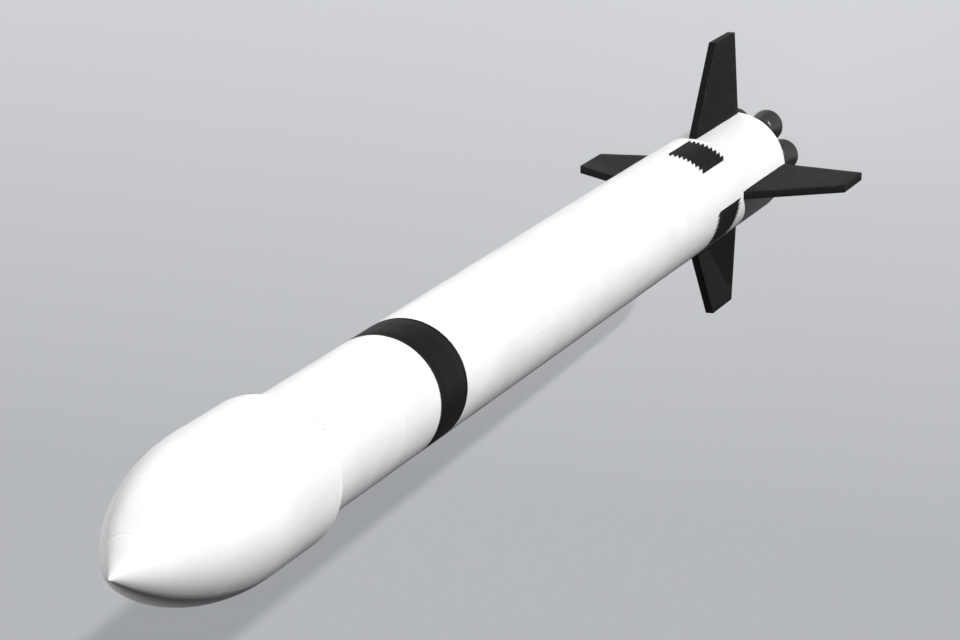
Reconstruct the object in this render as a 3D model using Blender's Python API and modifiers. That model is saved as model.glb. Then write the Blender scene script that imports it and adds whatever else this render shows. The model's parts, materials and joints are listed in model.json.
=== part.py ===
"""Two-stage space launcher with a wide payload fairing, four tail fins and seven gimballed engines.

Metres, +Z towards the nose. The origin is the centre of the tail rim, where the launch table holds it.
"""

import math

import bmesh
import bpy
import numpy as np
from mathutils import Matrix, Vector

# Driving dimensions
BODY_RADIUS = 1.200
SKIN = 0.040  # wall of the tail skirt, interstage and fairing
GAP = 0.0003  # between solids that rest on each other
ROUND = 72  # facets round the body

# Heights of the joints between the body's sections, from the tail rim up
RECESS_TOP = 0.50
SKIRT_TOP = 3.40
LOWER_TANK_TOP = 10.60
INTERTANK_TOP = 11.80
UPPER_TANK_TOP = 19.90
INTERSTAGE_LOW = 20.710
INTERSTAGE_TOP = 22.066
STAGE_TWO_SKIRT_TOP = 22.60
STAGE_TWO_TANK_TOP = 26.15
BAY_TOP = 26.82
FAIRING_LOW = 27.27
OGIVE_LOW = 29.114
NOSE_TIP = 33.337
FAIRING_RADIUS = 1.425
NOSE_CAP = 0.30  # solid tip of the fairing

# Fins: a swept slab with square edges
FIN_TIP_RADIUS = 3.123
FIN_THICK = 0.173
FIN_ROOT_FRONT, FIN_TIP_FRONT = 3.278, 1.835
FIN_ROOT_BACK, FIN_TIP_BACK = 0.071, 0.394

# Engines: six in a ring and one in the middle
ENGINE_RING = 0.768
ENGINE_COUNT = 6
PIVOT_HEIGHT = 0.300
EXIT_HEIGHT = -1.308
EXIT_RADIUS = 0.375
THROAT_RADIUS = 0.066
THROAT_HEIGHT = -0.240
BELL_WALL = 0.014
BELL_CURVE = 1.7  # how fast the bell straightens towards its exit
BELL_JOINT = -0.72  # the bell's cooled part ends here in a flange, and its extension hangs from it
BELL_FLANGE, BELL_FLANGE_THICK = 0.290, 0.012
BELL_FACETS = 24
SHIELD_LOW = 0.42

# Gimbal of each engine: a cross with two pins in the mount's ears and two in the engine's yoke
EAR_IN, EAR_OUT = 0.065, 0.095
EAR_HALF = 0.030
CROSS_HALF, CROSS_HALF_HEIGHT = 0.045, 0.028
PIN_RADIUS = 0.020
MOUNT_HALF, MOUNT_THICK = 0.13, 0.025

# Turbopump beside each chamber
PUMP_OUT, PUMP_RADIUS = 0.20, 0.062
PUMP_TOP, PUMP_LOW = 0.04, -0.17
FEED_RADIUS = 0.022
FEED_HEIGHTS = (0.0, -0.10)

# Second stage engine, one plain block inside the interstage
BLOCK_RADIUS, BLOCK_LOW = 0.45, 20.95

# Cable duct down the side away from the roll pattern
DUCT_TURN = math.radians(112.5)
DUCT_HALF_WIDTH, DUCT_RISE = 0.085, 0.050
DUCT_SLOPE = 0.12  # length of the sloped ends
DUCT_NARROW = 0.8  # width of the outer face against the foot
DUCT_RUNS = {"cable_duct_lower": (0.62, 20.62), "cable_duct_upper": (22.16, 26.70)}

# Payload adapter inside the fairing
ADAPTER_FOOT_RADIUS = 1.00
ADAPTER_TOP_RADIUS = 0.4685
ADAPTER_TOP = 27.62
ADAPTER_RING, ADAPTER_FLANGE = 0.05, 0.10  # width of the ring on top and of the flange at the foot
ADAPTER_EDGE = 0.04

# Fairing hinges
HINGE_OUT = 0.012  # the hinge line stands this far out from the fairing's skin
KNUCKLE_RADIUS = 0.0115
KNUCKLE_PLACES = (-0.09, 0.09)  # along the hinge line
KNUCKLE_HALF, LUG_END = 0.030, 0.055  # a lug stands at each end of a knuckle
STRAP_REACH = 0.060  # up the fairing, and down the boat tail
SPLIT_TURN = math.radians(45)  # the fairing parts in the plane half way between two fins


def clear_scene():
    for thing in list(bpy.data.objects):
        bpy.data.objects.remove(thing, do_unlink=True)


def new_collection(name):
    made = bpy.data.collections.new(name)
    bpy.context.scene.collection.children.link(made)
    return made


clear_scene()
ROCKET = new_collection("launcher")
CUTTERS = new_collection("cutters")


def material(name, colour, roughness, metallic=0.0):
    made = bpy.data.materials.new(name)
    made.use_nodes = True
    shader = made.node_tree.nodes["Principled BSDF"]
    shader.inputs["Base Color"].default_value = (*colour, 1)
    shader.inputs["Roughness"].default_value = roughness
    shader.inputs["Metallic"].default_value = metallic
    return made


WHITE = material("white_paint", (0.86, 0.86, 0.85), 0.35)
BLACK = material("black_paint", (0.016, 0.0165, 0.0175), 0.42)
NOZZLE = material("nozzle_metal", (0.075, 0.066, 0.058), 0.38, 0.8)
STEEL = material("engine_steel", (0.36, 0.35, 0.34), 0.35, 1.0)
SHIELD = material("heat_shield", (0.20, 0.19, 0.18), 0.8)
ALLOY = material("bare_alloy", (0.56, 0.57, 0.58), 0.4, 1.0)


def add(name, mesh, finish, collection=ROCKET):
    made = bpy.data.objects.new(name, mesh)
    mesh.materials.append(finish)
    collection.objects.link(made)
    return made


def turned(name, profile, finish, facets=ROUND, closed=False, centre=(0, 0), collection=ROCKET):
    """A solid of revolution: profile is (radius, height) points down its outer side, then back up inside."""
    mesh = bpy.data.meshes.new(name)
    count = len(profile)
    edges = [(i, i + 1) for i in range(count - 1)] + ([(count - 1, 0)] if closed else [])
    mesh.from_pydata([(radius, 0, height) for radius, height in profile], edges, [])
    made = add(name, mesh, finish, collection)
    made.location = (*centre, 0)
    screw = made.modifiers.new("turn", "SCREW")
    screw.steps = screw.render_steps = facets
    screw.use_merge_vertices = True
    screw.merge_threshold = 0.0001
    screw.use_smooth_shade = True
    return made


def drum(name, low, high, finish, radius=BODY_RADIUS):
    """A plain solid section of the body between two heights."""
    return turned(name, [(0, high - GAP), (radius, high - GAP), (radius, low), (0, low)], finish)


def box_mesh(name, low, high):
    mesh = bpy.data.meshes.new(name)
    bm = bmesh.new()
    bmesh.ops.create_cube(bm, size=1)
    size = Vector(high) - Vector(low)
    bmesh.ops.scale(bm, vec=size, verts=bm.verts)
    bmesh.ops.translate(bm, vec=(Vector(high) + Vector(low)) / 2, verts=bm.verts)
    bm.to_mesh(mesh)
    bm.free()
    return mesh


def rod_mesh(name, radius, start, end, facets=10):
    """A cylinder between two points."""
    mesh = bpy.data.meshes.new(name)
    start, end = Vector(start), Vector(end)
    run = end - start
    bm = bmesh.new()
    bmesh.ops.create_cone(
        bm, cap_ends=True, segments=facets, radius1=radius, radius2=radius, depth=run.length
    )
    turn = run.to_track_quat("Z", "Y").to_matrix().to_4x4()
    bmesh.ops.transform(bm, matrix=Matrix.Translation((start + end) / 2) @ turn, verts=bm.verts)
    bm.to_mesh(mesh)
    bm.free()
    return mesh


def hidden(made):
    """Marks a helper that only cuts or joins."""
    made.hide_render = True
    made.display_type = "WIRE"
    return made


def combine(target, other, operation):
    """A Boolean on target; other becomes a hidden helper."""
    if other.name not in CUTTERS.objects:
        ROCKET.objects.unlink(other)
        CUTTERS.objects.link(hidden(other))
    step = target.modifiers.new(operation.lower(), "BOOLEAN")
    step.operation = operation
    step.object = other
    step.solver = "EXACT"


def taken(made):
    """The finished mesh of a pattern object, which is then removed."""
    bpy.context.view_layer.update()
    graph = bpy.context.evaluated_depsgraph_get()
    mesh = bpy.data.meshes.new_from_object(made.evaluated_get(graph))
    bpy.data.objects.remove(made)
    return mesh


def pattern(name, mesh):
    """A loose object that a Boolean works on or with."""
    made = bpy.data.objects.new(name, mesh)
    ROCKET.objects.link(made)
    return made


def ogive(height, radius=FAIRING_RADIUS, low=OGIVE_LOW, tip=NOSE_TIP):
    """Radius of a tangent ogive: an arc that leaves the cylinder without a kink and ends in a point."""
    length = tip - low
    arc = (radius**2 + length**2) / (2 * radius)
    rise = np.clip(height - low, 0, length)
    return np.sqrt(arc**2 - rise**2) - (arc - radius)


def bell_radius(share):
    """Inner radius at a share of the bell's length from the throat."""
    inner_exit = EXIT_RADIUS - BELL_WALL
    return THROAT_RADIUS + (inner_exit - THROAT_RADIUS) * (1 - (1 - share) ** BELL_CURVE)


def body_sections():
    turned(
        "tail_skirt",
        [
            (0, SKIRT_TOP - GAP),
            (BODY_RADIUS, SKIRT_TOP - GAP),
            (BODY_RADIUS, 0),
            (BODY_RADIUS - SKIN, 0),
            (BODY_RADIUS - SKIN, RECESS_TOP),
            (0, RECESS_TOP),
        ],
        WHITE,
    )
    drum("heat_shield", SHIELD_LOW, RECESS_TOP, SHIELD, BODY_RADIUS - SKIN - GAP)
    drum("lower_tank", SKIRT_TOP, LOWER_TANK_TOP, WHITE)
    drum("intertank", LOWER_TANK_TOP, INTERTANK_TOP, WHITE)
    drum("upper_tank", INTERTANK_TOP, UPPER_TANK_TOP, WHITE)
    drum("forward_skirt", UPPER_TANK_TOP, INTERSTAGE_LOW, WHITE)
    turned(
        "interstage",
        [
            (BODY_RADIUS, INTERSTAGE_TOP - GAP),
            (BODY_RADIUS, INTERSTAGE_LOW),
            (BODY_RADIUS - SKIN, INTERSTAGE_LOW),
            (BODY_RADIUS - SKIN, INTERSTAGE_TOP - GAP),
        ],
        BLACK,
        closed=True,
    )
    turned(
        "second_stage_engine",
        [
            (0, INTERSTAGE_TOP - GAP),
            (BLOCK_RADIUS, INTERSTAGE_TOP - GAP),
            (BLOCK_RADIUS, BLOCK_LOW),
            (0, BLOCK_LOW),
        ],
        STEEL,
        facets=24,
    )
    drum("second_stage_skirt", INTERSTAGE_TOP, STAGE_TWO_SKIRT_TOP, WHITE)
    drum("second_stage_tank", STAGE_TWO_SKIRT_TOP, STAGE_TWO_TANK_TOP, WHITE)
    drum("equipment_bay", STAGE_TWO_TANK_TOP, BAY_TOP, WHITE)


def body_cutter(name, low, high):
    """The round of the body, a little oversize, for what is seated on it."""
    radius = BODY_RADIUS + GAP
    profile = [(0, high), (radius, high), (radius, low), (0, low)]
    return hidden(turned(name, profile, WHITE, collection=CUTTERS))


def cable_ducts():
    """Long covers with sloped ends, seated on the round of the body."""
    body = body_cutter("duct_seat_cutter", 0, NOSE_TIP)
    inner, outer = BODY_RADIUS - SKIN, BODY_RADIUS + DUCT_RISE
    for name, (low, high) in DUCT_RUNS.items():
        mesh = box_mesh(name, (inner, -DUCT_HALF_WIDTH, low), (outer, DUCT_HALF_WIDTH, high))
        for vertex in mesh.vertices:
            if vertex.co.x > BODY_RADIUS:
                vertex.co.y *= DUCT_NARROW
                vertex.co.z += DUCT_SLOPE if vertex.co.z < (low + high) / 2 else -DUCT_SLOPE
        duct = add(name, mesh, WHITE)
        duct.rotation_euler = (0, 0, DUCT_TURN)
        combine(duct, body, "DIFFERENCE")


def fins():
    """Four slabs, cut to the round of the tail skirt."""
    root = BODY_RADIUS - SKIN
    outline = [
        (root, FIN_ROOT_FRONT),
        (BODY_RADIUS, FIN_ROOT_FRONT),
        (FIN_TIP_RADIUS, FIN_TIP_FRONT),
        (FIN_TIP_RADIUS, FIN_TIP_BACK),
        (BODY_RADIUS, FIN_ROOT_BACK),
        (root, FIN_ROOT_BACK),
    ]
    skirt = body_cutter("fin_root_cutter", -SKIN, SKIRT_TOP)
    for number in range(4):
        curve = bpy.data.curves.new("fin_outline", "CURVE")
        curve.dimensions = "2D"
        curve.fill_mode = "BOTH"
        curve.extrude = FIN_THICK / 2
        line = curve.splines.new("POLY")
        line.points.add(len(outline) - 1)
        for point, (reach, height) in zip(line.points, outline):
            point.co = (reach, height, 0, 1)
        line.use_cyclic_u = True
        sketch = bpy.data.objects.new("fin_sketch", curve)
        ROCKET.objects.link(sketch)
        sketch.rotation_euler = (math.pi / 2, 0, number * math.pi / 2)
        bpy.context.view_layer.update()
        graph = bpy.context.evaluated_depsgraph_get()
        mesh = bpy.data.meshes.new_from_object(sketch.evaluated_get(graph))
        bm = bmesh.new()
        bm.from_mesh(mesh)
        bmesh.ops.remove_doubles(bm, verts=bm.verts, dist=0.00001)
        bmesh.ops.recalc_face_normals(bm, faces=bm.faces)
        bm.to_mesh(mesh)
        bm.free()
        fin = add(f"fin_{number + 1}", mesh, BLACK)
        fin.matrix_world = sketch.matrix_world
        bpy.data.objects.remove(sketch)
        combine(fin, skirt, "DIFFERENCE")


def engine_places():
    """Name suffix and centre of each engine: the middle one, then the ring."""
    places = [("0", (0.0, 0.0))]
    for number in range(ENGINE_COUNT):
        turn = math.radians(30) + number * 2 * math.pi / ENGINE_COUNT
        places.append((str(number + 1), (ENGINE_RING * math.cos(turn), ENGINE_RING * math.sin(turn))))
    return places


def bell_profiles():
    """Outlines of the cooled part of a bell, down to its flange, and of the extension that hangs from it."""
    def radii(heights):
        return bell_radius((heights - THROAT_HEIGHT) / (EXIT_HEIGHT - THROAT_HEIGHT))

    upper = np.linspace(THROAT_HEIGHT - GAP, BELL_JOINT + BELL_FLANGE_THICK, 4)
    cooled = [
        *zip(radii(upper) + BELL_WALL, upper),
        (BELL_FLANGE, BELL_JOINT + BELL_FLANGE_THICK),
        (BELL_FLANGE, BELL_JOINT),
        (float(radii(BELL_JOINT)), BELL_JOINT),
        *list(zip(radii(upper), upper))[::-1],
    ]
    top = BELL_JOINT - GAP
    lower = np.linspace(top - BELL_FLANGE_THICK, EXIT_HEIGHT, 3)
    extension = [
        (BELL_FLANGE, top),
        (BELL_FLANGE, lower[0]),
        *zip(radii(lower) + BELL_WALL, lower),
        *list(zip(radii(lower), lower))[::-1],
        (float(radii(top)), top),
    ]
    return cooled, extension


def powerhead():
    """Combustion chamber under its injector dome, the yoke on top and the turbopump at its side."""
    neck_radius, neck_top = 0.034, 0.178
    dome, flange, chamber_radius = 0.105, 0.145, 0.118
    manifold, throat_ring = 0.080, 0.105
    yoke_low = neck_top - 0.006
    ear_base = yoke_low + 0.028
    chamber = turned(
        "powerhead_pattern",
        [
            (0, neck_top),
            (neck_radius, neck_top),
            (neck_radius, 0.138),
            (0.075, 0.128),
            (dome, 0.105),
            (dome, 0.085),
            (flange, 0.085),
            (flange, 0.050),
            (chamber_radius, 0.050),
            (chamber_radius, -0.09),
            (manifold, -0.205),
            (throat_ring, -0.215),
            (throat_ring, THROAT_HEIGHT),
            (THROAT_RADIUS - 0.006, THROAT_HEIGHT),
            (THROAT_RADIUS - 0.006, -0.20),
            (0, -0.16),
        ],
        STEEL,
        facets=16,
    )
    base_mesh = box_mesh("yoke_base", (-EAR_HALF, -EAR_OUT, yoke_low), (EAR_HALF, EAR_OUT, ear_base))
    base = pattern("yoke_base", base_mesh)
    combine(chamber, base, "UNION")
    for side in (-1, 1):
        low_y, high_y = sorted((side * EAR_IN, side * EAR_OUT))
        ear = box_mesh(
            "yoke_ear", (-EAR_HALF, low_y, ear_base - 0.01), (EAR_HALF, high_y, PIVOT_HEIGHT + EAR_HALF)
        )
        combine(chamber, pattern("yoke_ear", ear), "UNION")
    pump = rod_mesh("pump", PUMP_RADIUS, (PUMP_OUT, 0, PUMP_TOP), (PUMP_OUT, 0, PUMP_LOW), 12)
    combine(chamber, pattern("pump", pump), "UNION")
    for height in FEED_HEIGHTS:
        feed = rod_mesh("feed", FEED_RADIUS, (0.05, 0, height), (PUMP_OUT - 0.01, 0, height), 6)
        combine(chamber, pattern("feed", feed), "UNION")
    return taken(chamber)


def gimbal_cross():
    """Block with two crossed pins: one pair turns in the thrust mount, the other in the engine's yoke."""
    reach = EAR_IN - GAP
    low, high = PIVOT_HEIGHT - CROSS_HALF_HEIGHT, PIVOT_HEIGHT + CROSS_HALF_HEIGHT
    cross_mesh = box_mesh("cross", (-CROSS_HALF, -CROSS_HALF, low), (CROSS_HALF, CROSS_HALF, high))
    block = pattern("cross", cross_mesh)
    for x, y in ((reach, 0), (0, reach)):
        pin = rod_mesh("pin", PIN_RADIUS, (-x, -y, PIVOT_HEIGHT), (x, y, PIVOT_HEIGHT), 8)
        combine(block, pattern("pin", pin), "UNION")
    return taken(block)


def thrust_mount():
    """Plate under the heat shield with two ears along X for the cross."""
    top = SHIELD_LOW - GAP
    low = top - MOUNT_THICK
    plate_mesh = box_mesh("mount", (-MOUNT_HALF, -MOUNT_HALF, low), (MOUNT_HALF, MOUNT_HALF, top))
    plate = pattern("mount", plate_mesh)
    for side in (-1, 1):
        low_x, high_x = sorted((side * EAR_IN, side * EAR_OUT))
        ear = box_mesh(
            "mount_ear", (low_x, -EAR_HALF, PIVOT_HEIGHT - EAR_HALF), (high_x, EAR_HALF, low + 0.01)
        )
        combine(plate, pattern("mount_ear", ear), "UNION")
    return taken(plate)


def engines():
    shared = (
        ("thrust_mount", thrust_mount(), STEEL),
        ("gimbal_cross", gimbal_cross(), ALLOY),
        ("powerhead", powerhead(), STEEL),
    )
    cooled, extension = bell_profiles()
    for suffix, centre in engine_places():
        for name, mesh, finish in shared:
            made = bpy.data.objects.new(f"{name}_{suffix}", mesh)
            if not mesh.materials:
                mesh.materials.append(finish)
            ROCKET.objects.link(made)
            made.location = (*centre, 0)
        turned(f"bell_{suffix}", cooled, NOZZLE, BELL_FACETS, closed=True, centre=centre)
        turned(f"bell_extension_{suffix}", extension, NOZZLE, BELL_FACETS, closed=True, centre=centre)


def fairing():
    """Boat tail, then two half shells that part at SPLIT_TURN and hinge outwards at their feet."""
    boat_tail = turned(
        "boat_tail",
        [
            (FAIRING_RADIUS, FAIRING_LOW - GAP),
            (BODY_RADIUS, BAY_TOP),
            (BODY_RADIUS - 0.10, BAY_TOP),
            (FAIRING_RADIUS - 0.10, FAIRING_LOW - GAP),
        ],
        WHITE,
        closed=True,
    )
    outer_heights = np.concatenate([[FAIRING_LOW], np.linspace(OGIVE_LOW, NOSE_TIP, 11)])
    inner_tip = NOSE_TIP - NOSE_CAP
    inner_heights = np.concatenate([[FAIRING_LOW], np.linspace(OGIVE_LOW, inner_tip, 6)])
    outer = [(float(ogive(h)), float(h)) for h in outer_heights[::-1]]
    inner = [(float(ogive(h, FAIRING_RADIUS - SKIN, OGIVE_LOW, inner_tip)), float(h)) for h in inner_heights]
    outer[0] = (0.0, NOSE_TIP)
    inner[-1] = (0.0, inner_tip)
    for suffix, side in (("a", 1), ("b", -1)):
        half = turned(f"fairing_half_{suffix}", outer + inner, WHITE)
        low_x, high_x = sorted((side * GAP, side * 3))
        keep = pattern(f"keep_{suffix}", box_mesh("keep", (low_x, -3, BAY_TOP), (high_x, 3, NOSE_TIP + 1)))
        keep.rotation_euler = (0, 0, SPLIT_TURN + math.pi / 2)
        combine(half, keep, "INTERSECT")
        add_hinge(half, boat_tail, side)


def add_hinge(half, boat_tail, side):
    """One knuckle on the half between two lugs on the boat tail, all round the hinge line."""
    turn = Matrix.Rotation(SPLIT_TURN + math.pi / 2 + (0 if side > 0 else math.pi), 4, "Z")
    line = FAIRING_RADIUS + HINGE_OUT

    def place(name, mesh, target):
        piece = bpy.data.objects.new(name, mesh)
        ROCKET.objects.link(piece)
        piece.matrix_world = turn
        combine(target, piece, "UNION")

    outer = line + 0.9 * KNUCKLE_RADIUS
    ease = 0.002  # a strap is this much narrower than its knuckle at each end
    for centre in KNUCKLE_PLACES:
        low_y, high_y = centre - KNUCKLE_HALF, centre + KNUCKLE_HALF
        knuckle = rod_mesh("knuckle", KNUCKLE_RADIUS, (line, low_y, FAIRING_LOW), (line, high_y, FAIRING_LOW))
        place("knuckle", knuckle, half)
        strap = box_mesh(
            "strap",
            (FAIRING_RADIUS - SKIN / 2, low_y + ease, FAIRING_LOW + 0.0035),
            (outer, high_y - ease, FAIRING_LOW + STRAP_REACH),
        )
        place("strap", strap, half)
        for end in (-1, 1):
            low_y, high_y = sorted((centre + end * (KNUCKLE_HALF + GAP), centre + end * LUG_END))
            lug = rod_mesh("lug", KNUCKLE_RADIUS, (line, low_y, FAIRING_LOW), (line, high_y, FAIRING_LOW))
            place("lug", lug, boat_tail)
            foot = box_mesh(
                "lug_foot",
                (FAIRING_RADIUS - 0.09, low_y + ease, FAIRING_LOW - STRAP_REACH),
                (outer, high_y - ease, FAIRING_LOW - 0.003),
            )
            place("lug_foot", foot, boat_tail)


def payload_adapter():
    """Open cone that carries the payload's ring."""
    edge_top = BAY_TOP + ADAPTER_EDGE
    inner_top = ADAPTER_TOP_RADIUS - ADAPTER_RING
    turned(
        "payload_adapter",
        [
            (ADAPTER_TOP_RADIUS, ADAPTER_TOP),
            (ADAPTER_TOP_RADIUS, ADAPTER_TOP - ADAPTER_EDGE),
            (ADAPTER_FOOT_RADIUS - ADAPTER_FLANGE / 2, edge_top),
            (ADAPTER_FOOT_RADIUS, edge_top),
            (ADAPTER_FOOT_RADIUS, BAY_TOP),
            (ADAPTER_FOOT_RADIUS - ADAPTER_FLANGE, BAY_TOP),
            (inner_top, ADAPTER_TOP - 1.5 * ADAPTER_EDGE),
            (inner_top, ADAPTER_TOP),
        ],
        ALLOY,
        facets=36,
        closed=True,
    )


body_sections()
cable_ducts()
fins()
engines()
fairing()
payload_adapter()
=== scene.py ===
# Space rocket: fine surfaces, finishes, light and camera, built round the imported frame.
# Metres, +Z towards the nose, origin at the centre of the tail rim.
import json
import math

import bpy
import numpy as np
from mathutils import Matrix, Vector

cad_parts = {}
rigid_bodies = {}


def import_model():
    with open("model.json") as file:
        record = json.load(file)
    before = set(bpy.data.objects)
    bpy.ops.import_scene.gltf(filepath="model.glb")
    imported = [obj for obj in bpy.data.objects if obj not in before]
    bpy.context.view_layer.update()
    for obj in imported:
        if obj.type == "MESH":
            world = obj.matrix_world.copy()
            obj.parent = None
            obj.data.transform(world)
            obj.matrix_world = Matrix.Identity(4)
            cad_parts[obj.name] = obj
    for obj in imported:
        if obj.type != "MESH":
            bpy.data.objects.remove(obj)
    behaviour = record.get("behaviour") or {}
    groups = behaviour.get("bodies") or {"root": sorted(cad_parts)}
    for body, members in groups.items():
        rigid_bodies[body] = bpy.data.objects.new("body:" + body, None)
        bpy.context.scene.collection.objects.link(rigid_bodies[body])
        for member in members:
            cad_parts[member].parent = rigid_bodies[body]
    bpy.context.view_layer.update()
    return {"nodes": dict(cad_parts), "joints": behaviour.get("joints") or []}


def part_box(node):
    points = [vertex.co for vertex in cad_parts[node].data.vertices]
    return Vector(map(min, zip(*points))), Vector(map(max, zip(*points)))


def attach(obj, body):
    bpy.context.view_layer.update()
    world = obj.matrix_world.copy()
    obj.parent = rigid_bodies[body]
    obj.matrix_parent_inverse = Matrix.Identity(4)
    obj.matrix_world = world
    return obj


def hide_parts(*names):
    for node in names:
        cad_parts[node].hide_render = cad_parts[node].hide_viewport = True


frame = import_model()
nodes = frame["nodes"]


def heightsOf(node):  # lowest and highest point of a CAD node
    low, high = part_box(node)
    return low.z, high.z


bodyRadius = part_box("lower_tank")[1].x
skinThick = 0.040
fairingRadius = 1.425
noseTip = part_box("fairing_half_a")[1].z
jointPlace = {j["name"]: j["pos_m"] for j in frame["joints"]}
engineCount = 7
pivotHeight = jointPlace["engine_0_pitch"][2]
engineCentre = {str(n): jointPlace[f"engine_{n}_pitch"][:2] for n in range(engineCount)}
finTurn = {"1": 0.0, "2": 90.0, "3": 180.0, "4": 270.0}

# Camera at the photo's angle: the rocket's side towards +X is up in the picture
cameraView = {
    "place": (18.866, -25.924, 86.535),
    "aim": (0.1649, 0.1184, 16.5191),
    "roll": -0.155,  # degrees
    "lens": 149.91,
    "sensor": 36.0,
}


def makeCamera(v):
    place, aim = Vector(v["place"]), Vector(v["aim"])
    back = (place - aim).normalized()
    side = Vector((1, 0, 0)).cross(back).normalized()
    above = back.cross(side)
    turn = Matrix((side, above, back)).transposed().to_4x4()
    roll = Matrix.Rotation(math.radians(v["roll"]), 4, back)
    data = bpy.data.cameras.new("camera")
    data.lens, data.sensor_width = v["lens"], v["sensor"]
    data.clip_start, data.clip_end = 1.0, 3000.0
    camera = bpy.data.objects.new("camera", data)
    camera.matrix_world = Matrix.Translation(place) @ roll @ turn
    bpy.context.scene.collection.objects.link(camera)
    bpy.context.scene.camera = camera


makeCamera(cameraView)
print("camera placed")

# Surfaces worked out as arrays. A shell is (points, faces, face corners' UV).


def gridShell(points):
    # A surface on a grid of rows and columns: four neighbouring points make a face
    rows, columns = points.shape[:2]
    index = np.arange(rows * columns).reshape(rows, columns)
    faces = np.stack([index[:-1, :-1], index[:-1, 1:], index[1:, 1:], index[1:, :-1]], -1).reshape(-1, 4)
    across, along = np.meshgrid(np.linspace(0, 1, columns), np.linspace(0, 1, rows))
    return points.reshape(-1, 3), faces, np.stack([across, along], -1).reshape(-1, 2)[faces]


def turned(radius, height, angles):
    # Surface of revolution: x = r cos a, y = r sin a. Radius and height hold one row a profile point,
    # and a column an angle where the outline changes round the axis.
    radius, height = (np.asarray(v, float).reshape(len(v), -1) for v in (radius, height))
    a = np.radians(angles)[None, :]
    x, y, z = np.broadcast_arrays(radius * np.cos(a), radius * np.sin(a), height + 0 * a)
    return gridShell(np.stack([x, y, z], -1))


def ring(count):  # angles of a whole turn, with the first one again at the end
    return np.linspace(0, 360, count + 1)


def unit(v):
    return v / np.linalg.norm(v, axis=-1, keepdims=True)


def smoothPath(route, perSpan=6):
    # Catmull-Rom curve: each span is a cubic through its two ends, with slopes from the points beside it.
    p = np.asarray(route, float)
    p = np.vstack([2 * p[0] - p[1], p, 2 * p[-1] - p[-2]])
    t = np.linspace(0, 1, perSpan, endpoint=False)[None, :, None]
    a, b, c, d = (p[k : len(p) - 3 + k, None, :] for k in range(4))
    curve = 0.5 * (2 * b + (c - a) * t + (2 * a - 5 * b + 4 * c - d) * t**2 + (3 * b - a - 3 * c + d) * t**3)
    return np.vstack([curve.reshape(-1, 3), p[-2]])


def tube(path, radius, sides=12):
    # A ring carried along a path: point = path + r (cos a N + sin a B), with N level and square to the
    # path. Both ends are closed.
    path = np.asarray(path, float)
    r = np.broadcast_to(np.asarray(radius, float), (len(path),))
    along = unit(np.gradient(path, axis=0))
    n = unit(np.cross(along, (0, 0, 1)))
    b = np.cross(along, n)
    path, n, b = (np.vstack([v[:1], v, v[-1:]]) for v in (path, n, b))
    r = np.concatenate([[0], r, [0]])[:, None, None]
    a = np.radians(ring(sides))[None, :, None]
    return gridShell(path[:, None] + r * (np.cos(a) * n[:, None] + np.sin(a) * b[:, None]))


def rod(start, end, radius, chamfer=0.002, sides=20):
    # Straight cylinder with a small chamfer at each end
    start, end = np.asarray(start, float), np.asarray(end, float)
    step = unit(end - start) * chamfer
    small = radius - chamfer
    return tube([start, start + step, end - step, end], [small, radius, radius, small], sides)


def block(low, high, bevel=0.003, corner=3):
    # A box with round edges: its outline is a rectangle with round corners, drawn in at the bottom and
    # the top by a quarter circle, and closed by a fan to the middle.
    low, high = np.asarray(low, float), np.asarray(high, float)
    half, middle = (high - low) / 2, (high + low) / 2
    turn = np.linspace(0, 90, corner)
    a = np.radians(np.concatenate([turn + k * 90 for k in range(4)] + [[0]]))
    sign = np.repeat([[1, 1], [-1, 1], [-1, -1], [1, -1]], corner, axis=0)
    sign = np.vstack([sign, sign[:1]])
    arc = np.radians(turn)
    inset = np.concatenate([bevel * (1 - np.sin(arc)), bevel * (1 - np.cos(arc))])
    rise = np.concatenate([-half[2] + bevel * (1 - np.cos(arc)), half[2] - bevel * (1 - np.sin(arc))])
    core = sign * (half[:2] - bevel)
    rim = core[None] + (bevel - inset)[:, None, None] * np.stack([np.cos(a), np.sin(a)], -1)[None]
    rim = np.concatenate([0 * rim[:1], rim, 0 * rim[:1]])
    rise = np.concatenate([[-half[2]], rise, [half[2]]])
    points = np.concatenate([rim, np.broadcast_to(rise[:, None, None], (*rim.shape[:2], 1))], -1)
    return gridShell(points + middle)


def placed(shell, turn=0.0, shift=(0, 0, 0)):  # turned about Z by degrees, then shifted
    points, faces, corners = shell
    c, s = math.cos(math.radians(turn)), math.sin(math.radians(turn))
    return points @ np.array([[c, s, 0], [-s, c, 0], [0, 0, 1]]) + np.asarray(shift, float), faces, corners


def repeated(shell, axes, origins):
    # Copies of a small shell: axes holds each copy's x, y and z directions, origins its place.
    points, faces, corners = shell
    axes, origins = np.asarray(axes, float), np.asarray(origins, float)
    count = len(origins)
    made = np.einsum("vk,nkj->nvj", points, axes) + origins[:, None]
    stepped = faces[None] + (np.arange(count) * len(points))[:, None, None]
    return made.reshape(-1, 3), stepped.reshape(-1, 4), np.tile(corners, (count, 1, 1))


def onSkin(angles, radius, height):  # points on a round skin
    a = np.radians(np.asarray(angles, float))
    return np.stack([radius * np.cos(a), radius * np.sin(a), height + 0 * a], -1)


def halfSteps(count):  # angles spaced evenly round the axis, the first half a step from +X
    return (np.arange(count) + 0.5) * 360 / count


headSizes = {  # widest and top radius, depth sunk in, heights of side, shoulder and crown, sides
    "screw": (0.0085, 0.006, 0.001, 0.0012, 0.0022, 0.0025, 6),
    "bolt": (0.008, 0.0065, 0.003, 0.005, 0.0065, 0.0065, 6),
    "smallBolt": (0.006, 0.005, 0.002, 0.004, 0.005, 0.005, 6),
    "cap": (0.014, 0.012, 0.001, 0.003, 0.005, 0.005, 16),
}


def headShape(wide, top, sunk, side, shoulder, crown, sides):
    return turned([0, wide, wide, top, 0], [-sunk, -sunk, side, shoulder, crown], ring(sides))


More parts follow.
